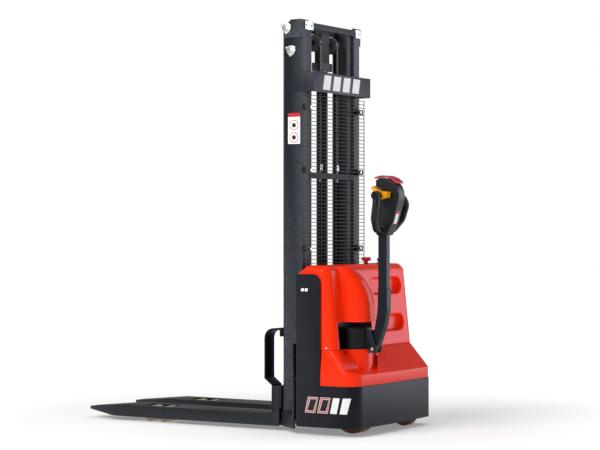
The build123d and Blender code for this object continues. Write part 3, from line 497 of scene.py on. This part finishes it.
def trim(piece, point, normal):
    """Cuts off what lies beyond a plane, on the side its normal points to."""
    pick(piece, lambda c: True)
    bpy.ops.mesh.bisect(plane_co=point, plane_no=normal, clear_outer=True)
    close()


def combine(piece, cutter, operation):
    """Joins a second form to a piece, or cuts it away, and removes that form."""
    modify(piece, "BOOLEAN", object=cutter, operation=operation, solver="EXACT")
    bpy.data.objects.remove(cutter)


shell = block("upper_hood_moulding", (hood_front - spare, -hood_half, parting - spare),
              (rear_low + spare * rear_lean, hood_half, hood_top))
pick(shell, lambda c: c.x > hood_front and c.z > hood_top - 0.001)
bpy.ops.transform.translate(value=(rear_top - rear_low - spare * rear_lean, 0, 0))
bpy.ops.mesh.select_all(action="SELECT")
bpy.ops.mesh.bisect(plane_co=(hood_front + 0.045, 0, 0), plane_no=(1, 0, 0))
close()
pick(shell, lambda c: c.x < hood_front and c.z > hood_top - 0.001)
bpy.ops.transform.translate(value=(0, 0, -0.052))
close()
pick(shell, lambda c: c.x > rear_top - 0.001 and abs(c.y) > hood_half - 0.001, "EDGE")
bpy.ops.mesh.bevel(offset=0.04, segments=7, affect="EDGES")
close()
pick(shell, lambda c: False, "EDGE")
form = bmesh.from_edit_mesh(shell.data)
for edge in form.edges:
    rises = sorted(face.normal.z for face in edge.link_faces)
    if rises[0] < 0.5 < 0.7 < rises[1] and max(v.co.x for v in edge.verts) > hood_front:
        edge.select_set(True)
bmesh.update_edit_mesh(shell.data)
bpy.ops.mesh.bevel(offset=0.028, segments=6, affect="EDGES")
close()

cowl_low = drum_axis.z + 0.0755                 # top edge of the drum opening
cowl_high = hood_top - 0.006
cowl = disc("cowl", 0.095, cowl_high - cowl_low,
            (drum_axis.x, drum_axis.y, (cowl_high + cowl_low) / 2), vertices=72)
rings = [(0.35, 0.985, -0.001, -0.001), (0.55, 0.92, -0.004, -0.007),
         (0.75, 0.81, -0.011, -0.02), (0.88, 0.7, -0.019, -0.034),
         (0.95, 0.6, -0.026, -0.047), (1.0, 0.47, -0.034, -0.06)]
for share, scale, back, aside in rings:
    level = cowl_low + share * (cowl_high - cowl_low)
    if share < 1:
        activate(cowl)
        bpy.ops.object.mode_set(mode="EDIT")
        bpy.ops.mesh.select_all(action="SELECT")
        bpy.ops.mesh.bisect(plane_co=(0, 0, level), plane_no=(0, 0, 1))
        close()
    pick(cowl, lambda c: abs(c.z - level) < 0.0005)
    bpy.ops.transform.resize(value=(scale, scale, 1),
                             center_override=(drum_axis.x, drum_axis.y, level))
    bpy.ops.transform.translate(value=(back, aside, 0))
    close()
pick(cowl, lambda c: c.z < cowl_low + 0.001, "FACE")
bpy.ops.mesh.extrude_region_move(TRANSFORM_OT_translate={"value": (0, 0, -0.05)})
close()
combine(shell, cowl, "UNION")


def stadium(name, middle, length, height):
    """Round-ended cutter that points along X, its flat end at the middle."""
    cutter = block(name, (middle.x, middle.y - length / 2, middle.z - height / 2),
                   (middle.x + 0.12, middle.y + length / 2, middle.z + height / 2))
    pick(cutter, lambda c: abs(abs(c.y - middle.y) - length / 2) < 0.0001, "EDGE")
    form = bmesh.from_edit_mesh(cutter.data)
    for edge in form.edges:
        if abs(edge.verts[0].co.x - edge.verts[1].co.x) < 0.01:
            edge.select_set(False)
    bmesh.update_edit_mesh(cutter.data)
    bpy.ops.mesh.bevel(offset=height * 0.495, segments=9, affect="EDGES")
    close()
    return cutter


for y, z, length, height in ((0.166, 0.696, 0.3, 0.08), (0.186, 0.5135, 0.25, 0.077)):
    floor_x = rear_top + (hood_top - z) * rear_lean - 0.03
    combine(shell, stadium("tray", Vector((floor_x, y, z)), length, height), "DIFFERENCE")
modify(shell, "REMESH", mode="VOXEL", voxel_size=0.0045)
modify(shell, "SMOOTH", factor=0.5, iterations=9)
trim(shell, (0, 0, parting + 0.0016), (0, 0, -1))
trim(shell, (hood_front, 0, 0), (-1, 0, 0))
modify(shell, "SOLIDIFY", thickness=0.004, offset=-1)
opening = block("opening", (drum_axis.x - 0.085, drum_axis.y - 0.163, parting - 0.02),
                (drum_axis.x + 0.2, drum_axis.y + 0.163, cowl_low))
pick(opening, lambda c: c.z > cowl_low - 0.001 and abs(abs(c.y - drum_axis.y) - 0.163) < 0.001,
     "EDGE")
bpy.ops.mesh.bevel(offset=0.014, segments=5, affect="EDGES")
close()
combine(shell, opening, "DIFFERENCE")
stop_low, stop_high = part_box("stop_switch_base")
stop_axis = (stop_low + stop_high) / 2
combine(shell, disc("stop_hole", 0.0137, 0.1, (stop_axis.x, stop_axis.y, hood_top)),
        "DIFFERENCE")
panel_low, panel_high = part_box("instrument_panel")
combine(shell, block("panel_hole", (panel_low.x - 0.0005, panel_low.y - 0.0005, hood_top - 0.05),
                     (panel_high.x + 0.0005, panel_high.y + 0.0005, hood_top + 0.02)),
        "DIFFERENCE")
dress(shell, "chassis", cover_red, angle=50)
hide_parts("upper_hood")

# ---------------------------------------------------------------- lower hood
# The same red ABS, wrapped round the foot of the drive tower, with a scoop where the foot of
# the tiller swings. Its edges are eased by the mould.
soften("lower_hood", cover_red, 4.0, segments=4)

# ---------------------------------------------------------------- drive and tiller
coat(black_abs, "drum_cover", "stop_switch_base", "instrument_panel", "horn_button",
     "lift_rocker", "battery", "controller")
coat(grey_casting, "drive_unit", "power_unit", "castor_fork")
coat(bright_steel, "drive_mount_ring")
coat(tyre_amber, "drive_wheel", "castor_wheel")
soften("tiller_bracket", mast_paint, 1.5)


def mould(node, finish, voxel_mm, rounds):
    """Stands in for a CAD node with one smooth moulding: every edge and join runs round."""
    piece = solid_copy(node, node + "_moulding")
    modify(piece, "REMESH", mode="VOXEL", voxel_size=voxel_mm / 1000)
    modify(piece, "SMOOTH", factor=0.5, iterations=rounds)
    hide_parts(node)
    return dress(piece, body_of_node[node], finish, angle=60)


mould("tiller_arm", mast_paint, 2.0, 5)
head = mould("tiller_head", moulded("charcoal_head_abs", "#0E1116", 0.4), 2.6, 9)
throttle_yellow = moulded("yellow_acetal", "#F2A20C", 0.3)
button_red = moulded("deep_red_abs", "#C01A36", 0.3)
mould("throttle", throttle_yellow, 1.2, 4)
pad = mould("belly_button", button_red, 1.6, 4)
modify(pad, "DISPLACE", strength=0.0009, mid_level=0.0)
coat(button_red, "stop_button")
coat(machined("nickel_key", "#B5AE9C", 0.3), "key")

# ---------------------------------------------------------------- mesh guard
# Spot-welded grid of drawn wire, dip-coated black: close level wires in front, a few uprights
# behind them. Every wire is round and its cut ends stand a little past the uprights.
wire_black = powder_coat("dipped_wire_coat", "#141517", 0.35)
mesh_low, mesh_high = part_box("mesh_guard")
wire_thick, wire_pitch, upright_count = 0.0035, 0.018, 5
wire_count = round((mesh_high.z - mesh_low.z - wire_thick) / wire_pitch) + 1
mesh_middle = (mesh_low + mesh_high) / 2
wires = disc("mesh_guard_wires", wire_thick / 2, mesh_high.y - mesh_low.y,
             (mesh_middle.x, 0, mesh_low.z + wire_thick / 2), axis="Y", vertices=8)
modify(wires, "ARRAY", count=wire_count, use_relative_offset=False,
       use_constant_offset=True, constant_offset_displace=(0, 0, wire_pitch))
upright_pitch = (mesh_high.y - mesh_low.y - wire_thick) / (upright_count - 1)
uprights = disc("uprights", wire_thick * 0.6, mesh_high.z - mesh_low.z,
                (mesh_middle.x + wire_thick * 0.8, mesh_low.y + wire_thick / 2,
                 mesh_middle.z), vertices=8)
modify(uprights, "ARRAY", count=upright_count, use_relative_offset=False,
       use_constant_offset=True, constant_offset_displace=(0, upright_pitch, 0))
dress(join(wires, uprights), "chassis", wire_black)
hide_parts("mesh_guard")

# ---------------------------------------------------------------- welds and screws
# The ties are joined to the mast channels by hand-laid fillet welds, painted over with the
# frame. Zinc-plated hex screws close the tiller's pivot, and a painted one sits in its arm.
def weld_bead(name, start, end, radius, finish, body):
    """A bead of overlapping ripples from start to end."""
    start, end = Vector(start), Vector(end)
    length = (end - start).length
    sides = 10
    bead = disc(name, radius, length, (0, 0, 0), vertices=sides)
    form = bmesh.new()
    steps = max(4, int(length / (radius * 0.8)))
    rings = []
    for i in range(steps + 1):
        swell = radius * (0.82 + 0.18 * (i % 2))
        level = length * i / steps
        rings.append([form.verts.new((swell * cos(2 * pi * k / sides),
                                      swell * sin(2 * pi * k / sides), level))
                      for k in range(sides)])
    for low, high in zip(rings, rings[1:]):
        for k in range(sides):
            after = (k + 1) % sides
            form.faces.new((low[k], low[after], high[after], high[k]))
    form.faces.new(list(reversed(rings[0])))
    form.faces.new(rings[-1])
    form.to_mesh(bead.data)
    form.free()
    bead.data.transform((end - start).to_track_quat("Z", "Y").to_matrix().to_4x4())
    bead.data.transform(Matrix.Translation(start))
    return dress(bead, body, finish, angle=70)


def hex_screw(name, place, outward, size, finish, body):
    """A flanged hex head, its crown chamfered, that points outward."""
    head_part = disc(name, size / 2, size * 0.38, (0, 0, size * 0.27), vertices=6)
    modify(head_part, "BEVEL", width=size * 0.06, segments=2)
    flange = disc("flange", size * 0.66, size * 0.1, (0, 0, size * 0.05), vertices=28)
    modify(flange, "BEVEL", width=size * 0.03, segments=2, limit_method="ANGLE")
    screw = join(head_part, flange)
    screw.data.transform(Vector(outward).to_track_quat("Z", "Y").to_matrix().to_4x4())
    screw.data.transform(Matrix.Translation(place))
    return dress(screw, body, finish)


tie_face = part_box("outer_mast_ties")[1].x - 0.0005
tie_edges = (0.43, 0.48, 1.22, 1.25, 1.945, 1.975)     # lower and upper edge of each tie
weld_inner, weld_outer, weld_radius = 0.196, 0.2185, 0.0022
for side, label in ((-1, "left"), (1, "right")):
    for number, level in enumerate(tie_edges):
        weld_bead(f"tie_weld_{label}_{number}", (tie_face, side * weld_inner, level),
                  (tie_face, side * weld_outer, level), weld_radius, mast_paint, "chassis")
bracket_low, bracket_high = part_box("tiller_bracket")
pivot_x, pivot_z, pivot_screw_size = 0.76, 0.405, 0.013
for side, label in ((-1, "left"), (1, "right")):
    face = bracket_low.y if side < 0 else bracket_high.y
    hex_screw(f"pivot_screw_{label}", (pivot_x, face, pivot_z), (0, side, 0),
              pivot_screw_size, zinc, "drive")
arm_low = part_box("tiller_arm")[0]
hex_screw("arm_screw", (arm_low.x + 0.064, -0.2, 0.712), (0, -1, 0), 0.012, mast_paint, "tiller")

# ---------------------------------------------------------------- printed marks
# Screen-printed vinyl stuck on after painting, 0.3 mm thick. Plain bars, parallelograms and
# discs, with no lettering: two red outlines and two white bars on the skirt, white bars on
# the name plate, a notice on the mast and one on the tiller.
white_film = moulded("white_print_film", "#F0F0EE", 0.45, specular=0.3)
red_film = moulded("red_print_film", "#C4121F", 0.45, specular=0.3)
black_film = moulded("black_print_film", "#15161A", 0.45, specular=0.3)
film_thick, film_gap, stand_off = 0.0003, 0.0002, 0.01


def mark(name, corners, finish, target, facing, body="chassis", cells=(16, 8), lift=0.0):
    """A thin sheet laid on its target, from four corners: lower left and right, upper two."""
    across, up = cells
    form = bmesh.new()
    rows = []
    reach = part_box(target[1])
    for j in range(up + 1):
        row = []
        for i in range(across + 1):
            s, t = i / across, j / up
            low = Vector(corners[0]).lerp(Vector(corners[1]), s)
            high = Vector(corners[3]).lerp(Vector(corners[2]), s)
            u, v = low.lerp(high, t)
            place = (reach[1].x + stand_off, u, v)
            if facing == "left":
                place = (u, reach[0].y - stand_off, v)
            row.append(form.verts.new(place))
        rows.append(row)
    for j in range(up):
        for i in range(across):
            form.faces.new((rows[j][i], rows[j][i + 1], rows[j + 1][i + 1], rows[j + 1][i]))
    sheet = bpy.data.objects.new(name, bpy.data.meshes.new(name))
    form.to_mesh(sheet.data)
    form.free()
    scene.collection.objects.link(sheet)
    modify(sheet, "SHRINKWRAP", target=target[0], wrap_method="PROJECT",
           use_project_y=facing == "left", use_project_x=facing == "rear",
           use_positive_direction=facing == "left", use_negative_direction=facing == "rear",
           offset=film_gap + lift)
    modify(sheet, "SOLIDIFY", thickness=film_thick, offset=1)
    return dress(sheet, body, finish)


def slanted(left, right, low, high, lean):
    """The corners of a parallelogram whose upper edge leans over by this much."""
    return [(left, low), (right, low), (right + lean, high), (left + lean, high)]


mark_low, mark_high, mark_lean = 0.11, 0.184, 0.017
outline_width, bar_width, icon_width = 0.056, 0.036, 0.016
skirt = join(solid_copy("rear_skirt", "skirt_form"), solid_copy("side_panel_left", "panel_form"))
for number, left in enumerate((0.505, 0.573)):
    for layer, (film, inset) in enumerate(((white_film, 0.0), (red_film, 0.0022),
                                           (white_film, 0.0075), (black_film, 0.0098))):
        mark(f"skirt_outline_{number}_{layer}",
             slanted(left + inset * 1.3, left + outline_width - inset * 0.9,
                     mark_low + inset, mark_high - inset, mark_lean),
             film, (skirt, "rear_skirt"), "left", lift=layer * film_thick)
for number, left in enumerate((0.642, 0.694)):
    mark(f"skirt_bar_{number}", slanted(left, left + bar_width, mark_low, mark_high, mark_lean),
         white_film, (skirt, "rear_skirt"), "left")
for number, left in enumerate((0.483, 0.5035)):
    mark(f"panel_icon_{number}", slanted(left, left + icon_width, 0.681, 0.695, 0.002),
         white_film, (skirt, "side_panel_left"), "left", cells=(4, 2))
bpy.data.objects.remove(skirt)

plate = solid_copy("name_plate", "plate_form")
plate_bar_width, plate_bar_pitch, first_bar = 0.066, 0.094, -0.19
for number in range(4):
    left = first_bar + number * plate_bar_pitch
    mark(f"plate_bar_{number}", slanted(left, left + plate_bar_width, 1.648, 1.719, 0.016),
         white_film, (plate, "name_plate"), "rear", cells=(2, 2))
bpy.data.objects.remove(plate)

web_y = -0.275
notice_front, notice_rear, notice_low, notice_high, band_low = 0.334, 0.402, 1.385, 1.533, 1.515
mast_form = solid_copy("outer_mast_left", "mast_form")
mark("mast_notice", slanted(notice_front, notice_rear, notice_low, notice_high, 0), white_film,
     (mast_form, "outer_mast_left"), "left", cells=(2, 2))
mark("mast_notice_band", slanted(notice_front, notice_rear, band_low, notice_high, 0),
     red_film, (mast_form, "outer_mast_left"), "left", cells=(2, 2), lift=film_thick)
bpy.data.objects.remove(mast_form)
for number, level in enumerate((1.475, 1.416)):
    for film, radius, lift in ((red_film, 0.025, 0.0), (white_film, 0.021, 0.0003),
                               (black_film, 0.011, 0.0006)):
        dot = disc(f"notice_disc_{number}_{film.name[0]}", radius, 0.0008,
                   ((notice_front + notice_rear) / 2, web_y - 0.0004 - lift, level),
                   axis="Y", vertices=32)
        dress(dot, "chassis", film)

mark("tiller_notice", slanted(-0.196, -0.168, 1.0, 1.06, 0), white_film,
     (head, "tiller_head"), "rear", body="tiller", cells=(6, 8))
mark("tiller_notice_band", slanted(-0.196, -0.168, 1.046, 1.06, 0), red_film,
     (head, "tiller_head"), "rear", body="tiller", cells=(6, 3), lift=0.0004)
